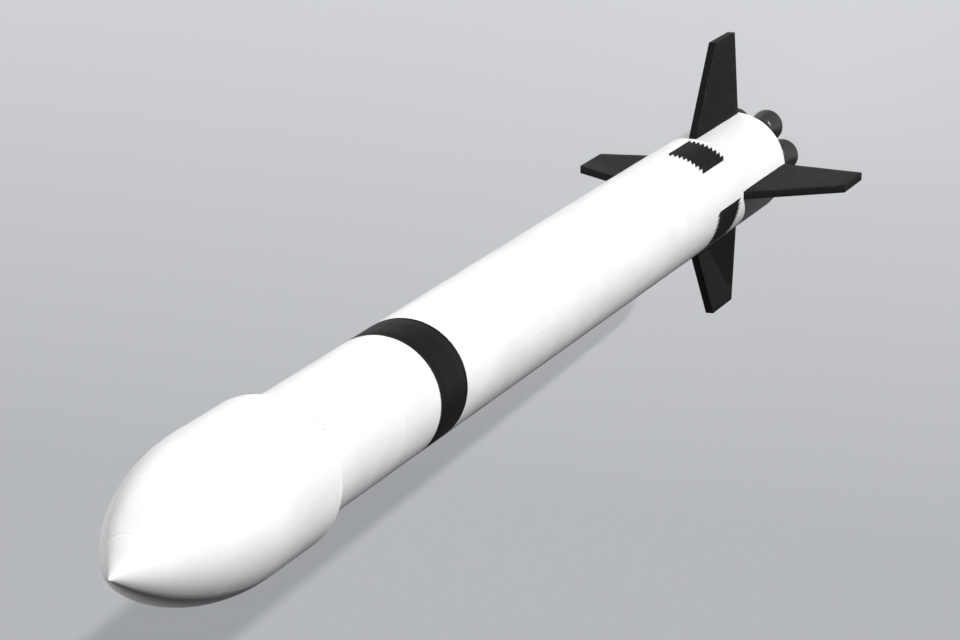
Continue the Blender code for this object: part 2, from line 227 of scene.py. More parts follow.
headOf = {kind: headShape(*sizes) for kind, sizes in headSizes.items()}


def headsOn(kind, places, down=False):
    # Heads that stand on a level face, or hang from one turned over about X
    flip = -1.0 if down else 1.0
    return repeated(headOf[kind], np.tile(np.diag([1.0, flip, flip]), (len(places), 1, 1)), places)


def join(shells):
    count = 0
    points, faces, corners = [], [], []
    for p, f, c in shells:
        points.append(p)
        faces.append(f + count)
        corners.append(c)
        count += len(p)
    return np.vstack(points), np.vstack(faces), np.vstack(corners)


def makePiece(name, parts, body="root", replaces=(), sharp=32):
    # parts is a list of (finish, shells). The whole becomes one mesh in its place, and points that fall
    # together are welded, so poles and seams close.
    parts = [(finish, join(shells)) for finish, shells in parts]
    points, faces, corners = join([shell for _, shell in parts])
    _, first, back = np.unique(np.round(points, 6), axis=0, return_index=True, return_inverse=True)
    points, faces = points[first], back.reshape(-1)[faces]
    finishOf = np.concatenate([np.full(len(shell[1]), k) for k, (_, shell) in enumerate(parts)])
    kept = faces != np.roll(faces, -1, axis=1)
    whole = kept.sum(1) >= 3
    faces, corners, kept, finishOf = faces[whole], corners[whole], kept[whole], finishOf[whole]
    sizes = kept.sum(1)
    mesh = bpy.data.meshes.new(name)
    mesh.vertices.add(len(points))
    mesh.vertices.foreach_set("co", points.astype(np.float32).ravel())
    mesh.loops.add(int(sizes.sum()))
    mesh.loops.foreach_set("vertex_index", faces[kept].astype(np.int32))
    mesh.polygons.add(len(faces))
    mesh.polygons.foreach_set("loop_start", np.concatenate([[0], np.cumsum(sizes)[:-1]]).astype(np.int32))
    mesh.update(calc_edges=True)
    for finish, _ in parts:
        mesh.materials.append(finish)
    mesh.polygons.foreach_set("material_index", finishOf.astype(np.int32))
    layer = mesh.uv_layers.new(name="surface")
    layer.uv.foreach_set("vector", corners[kept].astype(np.float32).ravel())
    mesh.shade_smooth()
    mesh.set_sharp_from_angle(angle=math.radians(sharp))
    piece = bpy.data.objects.new(name, mesh)
    bpy.context.scene.collection.objects.link(piece)
    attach(piece, body)
    if replaces:
        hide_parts(*replaces)
    return piece


# Finishes


def newFinish(name, roughness, metallic, **sockets):
    made = bpy.data.materials.new(name)
    made.use_nodes = True
    shader = made.node_tree.nodes["Principled BSDF"]
    shader.inputs["Roughness"].default_value = roughness
    shader.inputs["Metallic"].default_value = metallic
    for socket, value in sockets.items():
        shader.inputs[socket.replace("_", " ")].default_value = value
    return made, made.node_tree, shader


def coordinates(tree, kind="Object", scale=(1, 1, 1)):
    source = tree.nodes.new("ShaderNodeTexCoord")
    mapping = tree.nodes.new("ShaderNodeMapping")
    mapping.inputs["Scale"].default_value = scale
    tree.links.new(source.outputs[kind], mapping.inputs["Vector"])
    return mapping.outputs["Vector"]


def noise(tree, vector, scale, detail=3.0):
    made = tree.nodes.new("ShaderNodeTexNoise")
    made.inputs["Scale"].default_value = scale
    made.inputs["Detail"].default_value = detail
    tree.links.new(vector, made.inputs["Vector"])
    return made.outputs["Fac"]


def placeAlong(tree, axis, kind="Object"):  # one coordinate alone
    split = tree.nodes.new("ShaderNodeSeparateXYZ")
    tree.links.new(coordinates(tree, kind), split.inputs["Vector"])
    return split.outputs[axis]


def spread(tree, value, low, high, fromLow=0.3, fromHigh=0.7):
    made = tree.nodes.new("ShaderNodeMapRange")
    made.inputs["From Min"].default_value = fromLow
    made.inputs["From Max"].default_value = fromHigh
    made.inputs["To Min"].default_value = low
    made.inputs["To Max"].default_value = high
    tree.links.new(value, made.inputs["Value"])
    return made.outputs["Result"]


def tint(tree, value, stops):
    made = tree.nodes.new("ShaderNodeValToRGB")
    ramp = made.color_ramp
    while len(ramp.elements) < len(stops):
        ramp.elements.new(0.5)
    for element, (place, colour) in zip(ramp.elements, stops):
        element.position = place
        element.color = (*colour, 1)
    tree.links.new(value, made.inputs["Fac"])
    return made.outputs["Color"]


def relief(tree, shader, height, depth, strength):
    made = tree.nodes.new("ShaderNodeBump")
    made.inputs["Strength"].default_value = strength
    made.inputs["Distance"].default_value = depth
    tree.links.new(height, made.inputs["Height"])
    tree.links.new(made.outputs["Normal"], shader.inputs["Normal"])


paintLook = {
    "clouds": (1.3, (1, 1, 0.5)),  # scale of the broad tone, and its stretch
    "patches": (3.0, (1, 1, 0.6)),  # and of the changes in gloss
    "peel": 240,  # scale of the orange peel
    "peelRelief": (0.0004, 0.25),  # depth and strength
}


def paint(name, darker, lighter, roughness, uneven, v=paintLook, **sockets):
    # Sprayed paint: broad cloudy tone, roughness that changes a little from place to place, orange peel
    made, tree, shader = newFinish(name, roughness, 0.0, **sockets)
    scale, stretch = v["clouds"]
    clouds = noise(tree, coordinates(tree, scale=stretch), scale, 4)
    tree.links.new(tint(tree, clouds, [(0.35, darker), (0.65, lighter)]), shader.inputs["Base Color"])
    scale, stretch = v["patches"]
    patchy = noise(tree, coordinates(tree, scale=stretch), scale, 4)
    tree.links.new(spread(tree, patchy, roughness - uneven, roughness + uneven), shader.inputs["Roughness"])
    relief(tree, shader, noise(tree, coordinates(tree), v["peel"], 2), *v["peelRelief"])
    return made


whitePaint = paint(
    "whitePaint", (0.80, 0.80, 0.795), (0.86, 0.86, 0.855), 0.38, 0.05, Specular_IOR_Level=0.35
)
blackPaint = paint("blackPaint", (0.0070, 0.0072, 0.0077), (0.0088, 0.0090, 0.0096), 0.33, 0.02)


metalLook = {"uneven": 0.1, "marks": 60, "markRelief": (0.0003, 0.3)}  # marks: scale of the fine scratches


def metal(name, darker, lighter, roughness, stainScale, brushing=(1, 1, 1), v=metalLook):
    # Stained bare metal with fine scratches, drawn out along the brushing
    made, tree, shader = newFinish(name, roughness, 1.0)
    stains = noise(tree, coordinates(tree), stainScale, 5)
    tree.links.new(tint(tree, stains, [(0.3, darker), (0.7, lighter)]), shader.inputs["Base Color"])
    marks = noise(tree, coordinates(tree, scale=brushing), v["marks"], 4)
    gloss = spread(tree, marks, roughness - v["uneven"], roughness + v["uneven"])
    tree.links.new(gloss, shader.inputs["Roughness"])
    relief(tree, shader, marks, *v["markRelief"])
    return made


engineSteel = metal("engineSteel", (0.22, 0.215, 0.21), (0.40, 0.39, 0.38), 0.36, 14, (1, 1, 12))
bareAlloy = metal("bareAlloy", (0.46, 0.47, 0.48), (0.60, 0.61, 0.62), 0.40, 8, (10, 10, 1))
pipeMetal = metal("pipeMetal", (0.30, 0.24, 0.18), (0.46, 0.37, 0.28), 0.30, 20)


nozzleLook = {
    "heat": (-0.24, -1.31),  # heights of the throat and the exit
    "heatTones": ((0.0, (0.41, 0.43, 0.48)), (0.45, (0.53, 0.52, 0.51)), (1.0, (0.62, 0.59, 0.55))),
    "streakScale": (60, 3, 1),  # round the bell and along it
    "streakTones": ((0.3, (0.6, 0.6, 0.62)), (0.7, (1.0, 1.0, 1.0))),
    "streakShare": 0.2,
    "roughness": (0.23, 0.27),
    "pits": 160,  # scale
    "pitRelief": (0.0003, 0.3),
}


def nozzleFinish(v):
    # Dark heat-tinted metal: bluish near the throat, brown towards the exit, streaked down its tubes
    made, tree, shader = newFinish("nozzleMetal", 0.25, 1.0)
    heat = tint(tree, spread(tree, placeAlong(tree, "Z"), 0, 1, *v["heat"]), v["heatTones"])
    streak = noise(tree, coordinates(tree, "UV", v["streakScale"]), 1.0, 4)
    mix = tree.nodes.new("ShaderNodeMix")
    mix.data_type, mix.blend_type = "RGBA", "MULTIPLY"
    mix.inputs["Factor"].default_value = v["streakShare"]
    tree.links.new(heat, mix.inputs["A"])
    tree.links.new(tint(tree, streak, v["streakTones"]), mix.inputs["B"])
    tree.links.new(mix.outputs["Result"], shader.inputs["Base Color"])
    tree.links.new(spread(tree, streak, *v["roughness"]), shader.inputs["Roughness"])
    relief(tree, shader, noise(tree, coordinates(tree), v["pits"], 3), *v["pitRelief"])
    return made


nozzleMetal = nozzleFinish(nozzleLook)


fabricLook = {
    "stains": 4,  # scale
    "roughness": (0.77, 0.85),
    "weave": (110, 1.5),  # scale of the threads, and how much they waver
    "threads": (0.0006, 0.5),  # depth and strength of their relief
}


def fabricFinish(name, darker, lighter, v=fabricLook):
    # Woven blanket: fine waves for the weave over a soft stain
    made, tree, shader = newFinish(name, v["roughness"][1], 0.0)
    stains = noise(tree, coordinates(tree), v["stains"], 5)
    tree.links.new(tint(tree, stains, [(0.3, darker), (0.7, lighter)]), shader.inputs["Base Color"])
    weave = tree.nodes.new("ShaderNodeTexWave")
    weave.inputs["Scale"].default_value, weave.inputs["Distortion"].default_value = v["weave"]
    tree.links.new(coordinates(tree), weave.inputs["Vector"])
    thread = weave.outputs["Fac"]
    tree.links.new(spread(tree, thread, *v["roughness"], 0, 1), shader.inputs["Roughness"])
    relief(tree, shader, thread, *v["threads"])
    return made


blanket = fabricFinish("heatBlanket", (0.15, 0.145, 0.135), (0.25, 0.24, 0.225))
liner = fabricFinish("linerBlanket", (0.62, 0.62, 0.60), (0.74, 0.74, 0.72))

for name, node in nodes.items():  # every CAD node first gets its finish; most are then replaced
    wanted = whitePaint
    if name.startswith(("interstage", "fin_")):
        wanted = blackPaint
    elif name.startswith("bell"):
        wanted = nozzleMetal
    elif name.startswith(("powerhead", "thrust_mount", "second_stage_engine")):
        wanted = engineSteel
    elif name.startswith(("gimbal", "payload_adapter")):
        wanted = bareAlloy
    elif name.startswith("heat_shield"):
        wanted = blanket
    node.data.materials.clear()
    node.data.materials.append(wanted)
print("finishes made")

# Body skins: a cylinder whose radius is worked out from height and angle

skinLook = {
    "turnStep": 3.0,  # degrees between plain columns
    "rowStep": 0.40,
    "chamfer": 0.004,  # at each joint, so that two sections meet in a fine groove
    "beadRise": 0.0016,
    "beadWide": 0.012,
    "fineShare": 0.3,  # of a bead's width: step of the finer rows beside it
    "grooveDeep": 0.0030,
    "grooveWide": 0.0035,
    "screws": 96,  # in a whole row
    "screwInset": 0.045,  # from a section's end to its row
}


def bump(x, wide):  # a smooth ridge, 1 in the middle and nearly 0 two widths away
    return np.exp(-((x / wide) ** 2))


def stations(low, high, step, marks, wide):
    # Plain steps, with finer ones round each mark
    plain = np.linspace(low, high, max(2, int(round((high - low) / step)) + 1))
    near = (np.asarray(marks, float)[:, None] + wide * np.array([-2, -1, -0.5, 0, 0.5, 1, 2])).ravel()
    both = np.sort(np.concatenate([plain, near[(near > low) & (near < high)]]))
    return both[np.concatenate([[True], np.diff(both) > 1e-5])]


def alongSkin(angle, turn):  # distance round the skin from the direction turn, in metres
    return (np.mod(angle - turn + 180, 360) - 180) * math.radians(1) * bodyRadius


def skinRadius(angle, height, beads, seams, hatches, look):
    # Radius = body radius + ridges of the welds - grooves round the hatches
    r = np.full(np.broadcast(angle, height).shape, bodyRadius)
    for z in beads:
        r = r + look["beadRise"] * bump(height - z, look["beadWide"])
    for turn, low, high in seams:
        ridge = bump(alongSkin(angle, turn), look["beadWide"])
        r = r + look["beadRise"] * ridge * ((height > low) & (height < high))
    for turn, wide, low, high in hatches:
        across = np.abs(alongSkin(angle, turn)) - wide / 2
        edge = np.maximum(across, np.abs(height - (low + high) / 2) - (high - low) / 2)
        r = r - look["grooveDeep"] * bump(edge, look["grooveWide"])
    return r


def bodySkin(low, high, beads=(), seams=(), hatches=(), look=skinLook):
    # Rows up the outside and columns round it; the first and last rows close the ends
    degree = math.degrees(1) / bodyRadius
    c, fine = look["chamfer"], look["beadWide"] * look["fineShare"]
    turns = [t for t, _, _ in seams] + [t + s * w / 2 * degree for t, w, _, _ in hatches for s in (-1, 1)]
    rows = [*beads, *(z for *_, a, b in (*seams, *hatches) for z in (a, b))]
    angles = stations(0, 360, look["turnStep"], np.mod(turns, 360), fine * degree)
    height = stations(low + c, high - c, look["rowStep"], rows, fine)
    r = skinRadius(angles[None, :], height[:, None], beads, seams, hatches, look)
    ends = np.ones((1, len(angles)))
    inner = (bodyRadius - c) * ends
    height = np.concatenate([[low, low], height, [high, high]])
    return turned(np.vstack([0 * ends, inner, r, inner, 0 * ends]), height, angles)


def screwRing(height, skip=None):
    # Screws all round the body, left out where skip says so: z points out of the skin and y up it
    angles = halfSteps(skinLook["screws"])
    if skip is not None:
        angles = angles[~skip(angles)]
    z = onSkin(angles, 1.0, 0.0)
    y = np.broadcast_to([0.0, 0.0, 1.0], z.shape)
    axes = np.stack([np.cross(y, z), y, z], 1)
    return repeated(headOf["screw"], axes, onSkin(angles, bodyRadius, height))


def endScrews(low, high):
    return [screwRing(z) for z in (low + skinLook["screwInset"], high - skinLook["screwInset"])]


def barrelSeams(low, beads, high, first, step=75):
    # One upright weld a barrel, each turned on from the last
    edges = [low, *beads, high]
    return [((first + step * k) % 360, a, b) for k, (a, b) in enumerate(zip(edges[:-1], edges[1:]))]


tankWelds = {  # direction of the lowest upright weld, and heights of the round ones
    "lower_tank": (20, (5.75, 7.40, 9.05)),
    "upper_tank": (50, (13.15, 14.50, 15.85, 17.20, 18.55)),
    "second_stage_tank": (50, (23.80, 25.00)),
}
for name, (first, beads) in tankWelds.items():
    low, high = heightsOf(name)
    skin = bodySkin(low, high, beads, barrelSeams(low, beads, high, first))
    makePiece(name + "_skin", [(whitePaint, [skin])], replaces=[name])

hatchesOf = {  # direction, width, foot and top of each hatch
    "intertank": ((22.5, 0.42, 11.00, 11.46), (202.5, 0.42, 11.00, 11.46)),
    "forward_skirt": ((67.5, 0.34, 20.18, 20.48),),
    "second_stage_skirt": ((292.5, 0.26, 22.22, 22.44),),
    "equipment_bay": tuple((turn, 0.36, 26.30, 26.66) for turn in (22.5, 157.5, 292.5)),
}
for name, hatches in hatchesOf.items():
    low, high = heightsOf(name)
    skin = bodySkin(low, high, hatches=hatches)
    makePiece(name + "_skin", [(whitePaint, [skin] + endScrews(low, high))], replaces=[name])
print("tank and skirt skins made")

tailLook = {
    "rimHigh": 0.06,
    "groove": 0.0010,
    "frames": (0.62, 1.45, 2.30),  # heights of the inner frames, each with its screws
    "finClear": 7.5,  # degrees each side of a fin that have none
    "recess": 0.50,
    "columns": 120,
}


def tailSkirt(v):
    # Like a body skin, but its underside goes up into the recess behind the engines
    low, high = heightsOf("tail_skirt")
    c, wide = skinLook["chamfer"], skinLook["grooveWide"]
    height = stations(low + c, high - c, skinLook["rowStep"], [v["rimHigh"]], wide)
    r = bodyRadius - v["groove"] * bump(height - v["rimHigh"], wide)
    inner, edge, top = bodyRadius - skinThick, bodyRadius - c, v["recess"]
    radius = np.concatenate([[0, inner, inner, inner + c, edge], r, [edge, 0]])
    height = np.concatenate([[top, top, low + c, low, low], height, [high, high]])
    skin = turned(radius, height, ring(v["columns"]))

    def byFin(angles):
        return np.abs(np.mod(angles + 45, 90) - 45) < v["finClear"]

    heads = [screwRing(z, byFin) for z in v["frames"]] + [screwRing(high - skinLook["screwInset"])]
    makePiece("tail_skirt_skin", [(whitePaint, [skin] + heads)], replaces=["tail_skirt"])


tailSkirt(tailLook)

interstageLook = {"grooveIn": 0.10, "columns": 120}  # grooves this far from both ends


def interstage(v):
    # Hollow black ring: up the outside, over the top, down the inside
    low, high = heightsOf("interstage")
    c, wide = skinLook["chamfer"], skinLook["grooveWide"]
    marks = (low + v["grooveIn"], high - v["grooveIn"])
    height = stations(low + c, high - c, skinLook["rowStep"], marks, wide)
    r = bodyRadius - skinLook["grooveDeep"] * sum(bump(height - z, wide) for z in marks)
    inner, edge = bodyRadius - skinThick, bodyRadius - c
    radius = np.concatenate([[edge], r, [edge, inner, inner, edge]])
    height = np.concatenate([[low], height, [high, high, low, low]])
    parts = [(blackPaint, [turned(radius, height, ring(v["columns"]))] + endScrews(low, high))]
    makePiece("interstage_skin", parts, replaces=["interstage"])


interstage(interstageLook)

# Roll pattern: black paint on alternate eighths of the lower tank, in strips with slanted ends

rollPattern = {
    "starts": (-45, -135, 45, 135),  # degrees, where each patch begins
    "strips": 9,
    "stripTurn": 5.0,
    "columns": 5,
    "low": 3.460,
    "high": 5.018,
    "slant": 0.220,
    "thick": 0.0012,
    "sunk": 0.003,
}


def bentSlab(angles, low, high, inner, outer):
    # A curved plate between two radii: a four-point outline in radius and height carried round the
    # angles, closed by a face at each end. Low and high may change with the angle.
    a = np.radians(angles)
    radius = np.array([outer, outer, inner, inner, outer])[:, None] * np.ones_like(a)
    height = np.stack([low, high, high, low, low])
    points = np.stack([radius * np.cos(a), radius * np.sin(a), height], -1)
    start = np.stack([points[[0, 1], 0], points[[3, 2], 0]], 1)[:, ::-1]
    end = np.stack([points[[0, 1], -1], points[[3, 2], -1]], 1)
    return join([gridShell(points), gridShell(start), gridShell(end)])


def rollPatch(first, p):
    inner, outer = bodyRadius - p["sunk"], bodyRadius + p["thick"]
    rise = p["slant"] * np.linspace(1, 0, p["columns"])
    shells = []
    for k in range(p["strips"]):
        start, end = first + k * p["stripTurn"], first + (k + 1) * p["stripTurn"]
        angles = np.linspace(start, end, p["columns"])
        shells.append(bentSlab(angles, p["low"] + rise, p["high"] + rise, inner, outer))
    return shells


for number, first in enumerate(rollPattern["starts"]):
    makePiece(f"roll_patch_{number + 1}", [(blackPaint, rollPatch(first, rollPattern))])
print("roll pattern painted")

# Cable ducts

ductLook = {
    "turn": 112.5,
    "halfWidth": 0.085,
    "rise": 0.050,
    "nose": 0.14,  # length of the eased ends
    "noseCurve": 0.8,  # power of their rise
    "narrow": 0.75,  # share of the width at the very ends
    "flatness": (6, 0.5),  # powers of the hump: the first makes its top flat, the second its sides steep
    "foot": (0.004, 0.012),  # depths of its edge and of its underside in the skin
    "bands": (0.6, 0.3, 1.2),  # the first above the foot, room at the top, spacing
    "band": 0.012,  # half its height, and its reach past the cover
    "bandSunk": 0.02,
    "bandBevel": 0.002,
}


def cableDuct(name, d):
    # A low cover: its section is a rounded hump in height above the skin, carried up the body, and its
    # height eases to nothing at both ends.
    low, high = heightsOf(name)
    along = np.linspace(0, 1, 9)
    ease = np.sin(along * math.pi / 2) ** d["noseCurve"]
    plain = np.arange(low + 1, high - 1, 1.0)
    height = np.concatenate([low + d["nose"] * along, plain, high - d["nose"] * along[::-1]])
    lift = np.concatenate([ease, np.ones(len(plain)), ease[::-1]])[:, None]
    across = np.linspace(-1, 1, 25)
    flat, steep = d["flatness"]
    hump = np.clip((1 - np.abs(across) ** flat), 0, 1) ** steep
    y = across * d["halfWidth"] * (d["narrow"] + (1 - d["narrow"]) * lift)
    skin = np.sqrt(bodyRadius**2 - y**2)
    edge, sunk = d["foot"]
    x = skin - edge + (edge + d["rise"] * hump) * lift
    top = np.stack([x, y, np.broadcast_to(height[:, None], x.shape)], -1)
    under = np.stack([skin - sunk, y, top[..., 2]], -1)
    points = np.concatenate([top, under[:, ::-1], top[:, :1]], 1)
    start, end = (np.broadcast_to(under[k, len(across) // 2], points[:1].shape) for k in (0, -1))
    shells = [gridShell(np.concatenate([start, points, end]))]
    band, half = d["band"], d["halfWidth"] + d["band"]
    first, room, step = d["bands"]
    for z in np.arange(low + first, high - room, step):
        near, far = (bodyRadius - d["bandSunk"], -half, z - band), (bodyRadius + edge, half, z + band)
        shells.append(block(near, far, d["bandBevel"]))
    makePiece(name + "_cover", [(whitePaint, [placed(s, d["turn"]) for s in shells])], replaces=[name])


for name in ("cable_duct_lower", "cable_duct_upper"):
    cableDuct(name, ductLook)
print("cable ducts made")

# Fins: a slab with round edges whose two faces carry fine panel grooves

finShape = {
    "rootFront": 3.278,
    "tipFront": 1.835,
    "tipBack": 0.394,
    "rootBack": 0.071,
    "edge": 0.0015,  # radius of the edges
    "joints": (0.30, 0.62),  # between the face plates, as shares of the span
    "jointDeep": 0.0008,
    "jointWide": 0.0030,
    "rootIn": 0.03,
    # root angle: in and out from the skin, sunk in the fin and proud of it, foot and top, bevel
    "angle": (0.01, 0.055, 0.003, 0.005, 0.20, 3.05, 0.002),
    "screws": (0.26, 3.0, 0.09),  # first, end and spacing
    "screwOut": 0.035,
}


def finSection(f, half):
    # Outline round the slab as share of the chord, offset along it, thickness, and 1 on the faces: a
    # face from front to back, a quarter circle, the back edge, and the same on the other side.
    e = f["edge"]
    lines = np.linspace(0, 1, 11)
    arc = np.radians(np.linspace(0, 90, 5))
    share = [lines, np.ones(2 * len(arc)), lines[::-1], np.zeros(2 * len(arc) + 1)]
    offset = [
        e * (1 - 2 * lines),
        e * (np.concatenate([np.sin(arc), np.cos(arc)]) - 1),
        e * (1 - 2 * lines[::-1]),
        e * (1 - np.concatenate([np.sin(arc), np.cos(arc), [0]])),
    ]
    side = np.concatenate([half - e * (1 - np.cos(arc)), -half + e * (1 - np.sin(arc))])
    thick = [half + 0 * lines, side, -half + 0 * lines, -side, [half]]
    face = [1 + 0 * lines, 0 * side, 1 + 0 * lines, 0 * side, [1]]
    return [np.concatenate(row) for row in (share, offset, thick, face)]


def finSkin(name, turn, f):
    low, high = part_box("fin_1")
    root, tip, half, e = bodyRadius, high.x, high.y, f["edge"]
    share, offset, thick, face = finSection(f, half)
    arc = np.radians(np.linspace(0, 90, 5))
    span = stations(0, 1 - e / (tip - root), 0.1, f["joints"], f["jointWide"] / (tip - root))
    plates = root + span * (tip - root)
    reach = np.concatenate([[root - f["rootIn"]] * 2, plates, tip - e * (1 - np.sin(arc)), [tip]])
    inset = np.concatenate([np.zeros(2 + len(span)), e * (1 - np.cos(arc)), [e]])[:, None]
    flat = np.ones((len(reach), 1))
    flat[[0, -1]] = 0  # the end rows fall together in the slab's middle plane
    part = np.clip((reach - root) / (tip - root), 0, 1)
    front = (f["rootFront"] + (f["tipFront"] - f["rootFront"]) * part)[:, None]
    back = (f["rootBack"] + (f["tipBack"] - f["rootBack"]) * part)[:, None]
    groove = sum(bump((part - line) * (tip - root), f["jointWide"]) for line in f["joints"])
    depth = f["jointDeep"] * groove[:, None] * face
    y = np.sign(thick) * np.clip(np.abs(thick) - inset - depth, 0, None) * flat
    z = front - share * (front - back) - (offset + inset * (1 - 2 * share))
    x = np.broadcast_to(reach[:, None], z.shape)
    shells = [gridShell(np.stack([x, y, z], -1)[:, ::-1])]
    inside, out, sunk, proud, foot, top, bevel = f["angle"]
    for s in (-1, 1):
        near, far = sorted((s * (half - sunk), s * (half + proud)))
        shells.append(block((root - inside, near, foot), (root + out, far, top), bevel))
    z = np.arange(*f["screws"])
    for s in (-1, 1):
        axes = np.tile([[1.0, 0, 0], [0, 0, -s], [0, s, 0]], (len(z), 1, 1))
        places = np.stack([root + f["screwOut"] + 0 * z, s * (half + proud) + 0 * z, z], -1)
        shells.append(repeated(headOf["screw"], axes, places))
    parts = [(blackPaint, [placed(s, turn) for s in shells])]
    makePiece(f"{name}_skin", parts, replaces=[name])


for number, turn in finTurn.items():
    finSkin(f"fin_{number}", turn, finShape)
print("fins made")

# Fairing: two half shells with a pointed arch, a quilted lining and a chamfered split

fairingLook = {
    "turns": {"a": 135.0, "b": 315.0},  # direction in which each half opens
    "low": jointPlace["fairing_open_a"][2],
    "archLow": 29.114,
    "innerTip": noseTip - 0.30,
    "thick": skinThick,
    "chamfer": 0.004,
    "columns": 121,
    "rings": (27.35, 29.114, 31.00, 32.55),
    "ringDeep": 0.003,  # and as wide each way
    "quilt": (12, 24),  # rows of pads up the lining, and pads round the whole turn
    "puff": 0.011,
    "puffEdge": 0.35,  # power of the pads' section; the smaller, the steeper they end
    "plainTip": 0.2,  # radius in the nose below which there are no pads
    "hingeOut": 0.012,
    "knuckle": 0.0115,
    "knuckleHalf": 0.030,
    "knuckleBevel": 0.001,
    "hingeAcross": (-0.09, 0.09),
    "lugEnd": 0.055,
    "strapReach": 0.060,
    "strapOut": 0.9,  # share of the knuckle's radius
    "strapBevel": 0.002,  # and how much narrower than its knuckle it is on each side
    "shellStrap": (0.02, 0.0035),  # depth in the skin, and gap to the hinge's level
    "tailStrap": (0.09, 0.003),
    "rimWide": 0.10,
    "deckRadius": 1.10,
    "tailColumns": 160,
    "gap": 0.0003,
}


def archRadius(height, radius, low, tip):
    # Cylinder up to low, then a circular arc that meets it smoothly and comes to a point at the tip
    length = tip - low
    arc = (radius**2 + length**2) / (2 * radius)
    return np.sqrt(arc**2 - np.clip(height - low, 0, length) ** 2) - (arc - radius)


def fairingHalf(suffix, turn, f):
    rows, pads = f["quilt"]
    low, deep, c = f["low"], f["ringDeep"], f["chamfer"]
    height = stations(low, noseTip, (noseTip - low) / (5 * rows), f["rings"], deep)
    outer = archRadius(height, fairingRadius, f["archLow"], noseTip)
    for z in f["rings"]:
        outer = outer - deep * bump(height - z, deep)
    share = (height - low) / (noseTip - low)
    inside = low + share * (f["innerTip"] - low)
    inner = archRadius(inside, fairingRadius - f["thick"], f["archLow"], f["innerTip"])
    # The first and last columns lie on the split, and the next ones a chamfer away
    outer, inner = outer[:, None], inner[:, None]
    edge = np.minimum(c / np.maximum(outer, 0.02), 0.2)  # in radians, and no more than that near the tip
    along = np.linspace(-1, 1, f["columns"])[None]
    a = np.concatenate([0 * edge - np.pi / 2, along * (np.pi / 2 - edge), 0 * edge + np.pi / 2], 1)
    drop = np.zeros(a.shape[1])
    drop[[0, -1]] = 1
    ro = np.maximum(outer - c * drop, 0)
    puffs = np.abs(np.sin(np.pi * rows * share))[:, None] * np.abs(np.sin(a * pads / 2))
    ri = np.maximum(inner - f["puff"] * puffs ** f["puffEdge"] * (inner > f["plainTip"]) * (drop == 0), 0)

    def surface(r, z):
        x = np.maximum(r * np.cos(a), f["gap"])
        return np.stack([x, r * np.sin(a), np.broadcast_to(z[:, None], a.shape)], -1)

    out, into = surface(ro, height), surface(ri, inside)
    sides = [np.stack([into[:, 0], out[:, 0]], 1), np.stack([out[:, -1], into[:, -1]], 1)]
    white = [gridShell(s) for s in (out, np.stack([into[0], out[0]]), *sides)]
    line = fairingRadius + f["hingeOut"]
    half, bevel = f["knuckleHalf"], f["strapBevel"]
    sunk, above = f["shellStrap"]
    for y in f["hingeAcross"]:
        white.append(rod((line, y - half, low), (line, y + half, low), f["knuckle"], f["knuckleBevel"]))
        foot = (fairingRadius - sunk, y - half + bevel, low + above)
        top = (line + f["strapOut"] * f["knuckle"], y + half - bevel, low + f["strapReach"])
        white.append(block(foot, top, bevel))
    parts = [(whitePaint, [placed(s, turn) for s in white]), (liner, [placed(gridShell(into[::-1]), turn)])]
    node = f"fairing_half_{suffix}"
    makePiece(f"fairing_shell_{suffix}", parts, body=node, replaces=[node])


for suffix, turn in fairingLook["turns"].items():
    fairingHalf(suffix, turn, fairingLook)


def boatTail(f):
    # Cone from the body out to the fairing, with the lugs of both hinges
    low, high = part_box("equipment_bay")[1].z, f["low"] - f["gap"]
    c, inner, edge = f["chamfer"], f["deckRadius"], bodyRadius - f["chamfer"]
    slope = np.linspace(0, 1, 4)
    cone = bodyRadius + (fairingRadius - bodyRadius - c / 2) * slope
    rim = [fairingRadius - c, fairingRadius - f["rimWide"]]
    radius = np.concatenate([[edge], cone, rim, [inner, edge]])
    height = np.concatenate([[low], low + c + (high - low - 2 * c) * slope, [high, high, low, low]])
    shells = [turned(radius, height, ring(f["tailColumns"]))]
    line = fairingRadius + f["hingeOut"]
    outer = line + f["strapOut"] * f["knuckle"]
    bevel = f["strapBevel"]
    sunk, below = f["tailStrap"]
    hinges = [(turn, y, s) for turn in f["turns"].values() for y in f["hingeAcross"] for s in (-1, 1)]
    for turn, y, s in hinges:
        near, far = sorted((y + s * (f["knuckleHalf"] + f["gap"]), y + s * f["lugEnd"]))
        lug = rod((line, near, f["low"]), (line, far, f["low"]), f["knuckle"], f["knuckleBevel"])
        foot = (fairingRadius - sunk, near + bevel, f["low"] - f["strapReach"])
        strap = block(foot, (outer, far - bevel, f["low"] - below), bevel)
        shells += [placed(lug, turn), placed(strap, turn)]
    makePiece("boat_tail_skin", [(whitePaint, shells)], replaces=["boat_tail"])


boatTail(fairingLook)
print("fairing made")

# Payload adapter, on the deck inside the boat tail

adapterLook = {
    "topRadius": 0.4685,
    "wall": 0.03,
    "flange": 0.05,  # from the foot's edge to the cone, and from the head's to its hole
    "footThick": 0.04,
    "headThick": 0.03,
    "bevel": 0.004,
    "innerDrop": 0.01,  # of the cone's inside
    "ribs": 36,
    "rib": 0.007,
    "bolts": 60,
    "boltIn": 0.025,
}


